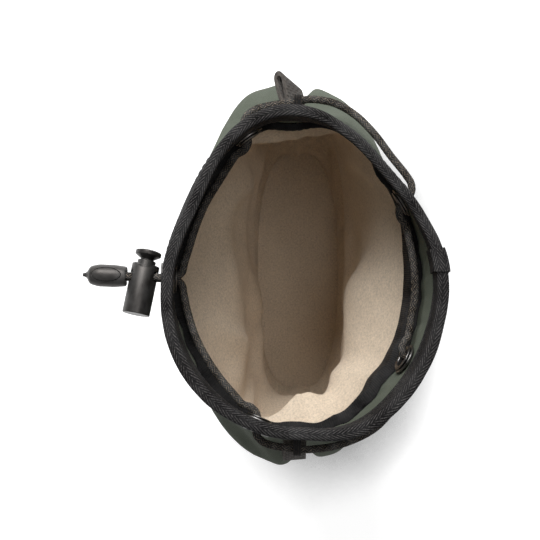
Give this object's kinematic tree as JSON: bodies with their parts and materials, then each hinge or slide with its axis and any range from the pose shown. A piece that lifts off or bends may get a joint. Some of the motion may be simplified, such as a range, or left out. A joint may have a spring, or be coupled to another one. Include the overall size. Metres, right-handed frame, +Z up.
{
  "type": "drawstring pouch",
  "caption": "Padded drawstring pouch for a rangefinder, mouth open, fleece lined, with eyelets, a drawcord, a sprung cord lock and a belt loop.",
  "frame": {"origin": "middle of the base's flat underside", "axes": "+Z up to the mouth, +X across the pouch towards the right side seam, +Y towards the back with the belt loop; the cord lock is on the front at -Y"},
  "size_m": [0.1594, 0.1411, 0.1671],
  "materials": {
    "shell_fabric": "padded woven fabric, matt",
    "foam": "closed-cell foam",
    "fleece": "brushed fleece",
    "black_tape": "woven tape",
    "webbing": "woven webbing",
    "cord": "braided cord",
    "gunmetal": "black nickel plating",
    "lock_plastic": "fine grain",
    "cord_end_plastic": "satin",
    "spring_steel": "drawn wire"
  },
  "bodies": {
    "pouch": {"front_shell": "shell_fabric", "back_shell": "shell_fabric", "base_shell": "shell_fabric", "front_facing": "shell_fabric", "back_facing": "shell_fabric", "front_padding": "foam", "back_padding": "foam", "base_padding": "foam", "front_lining": "fleece", "back_lining": "fleece", "base_lining": "fleece", "rim_binding": "black_tape", "lining_tape": "black_tape", "cord_keeper_left": "black_tape", "cord_keeper_right": "black_tape", "belt_loop": "webbing", "side_loop_left": "webbing", "side_loop_right": "webbing", "drawcord": "cord", "eyelet_front_centre": "gunmetal", "eyelet_front_left": "gunmetal", "eyelet_back_left": "gunmetal", "eyelet_back_right": "gunmetal", "eyelet_front_right": "gunmetal", "eyelet_washer_front_centre": "gunmetal", "eyelet_washer_front_left": "gunmetal", "eyelet_washer_back_left": "gunmetal", "eyelet_washer_back_right": "gunmetal", "eyelet_washer_front_right": "gunmetal", "cord_end_body": "cord_end_plastic", "cord_end_lid": "cord_end_plastic"},
    "cord_lock": {"cord_lock_barrel": "lock_plastic", "cord_lock_spring": "spring_steel"},
    "plunger": {"cord_lock_plunger": "lock_plastic"}
  },
  "joints": [
    {"name": "cord_lock_slide", "type": "slide", "parent": "pouch", "child": "cord_lock", "axis": [0.0425, 0.9991, 0], "range_m": [-0.0002, 0.0006]},
    {"name": "plunger_press", "type": "slide", "parent": "cord_lock", "child": "plunger", "axis": [0.9697, -0.1892, 0.1547], "range_m": [0, 0.002], "stiffness_N_per_m": 400, "springref_m": -0.002, "deforming": ["cord_lock_spring"]}
  ]
}
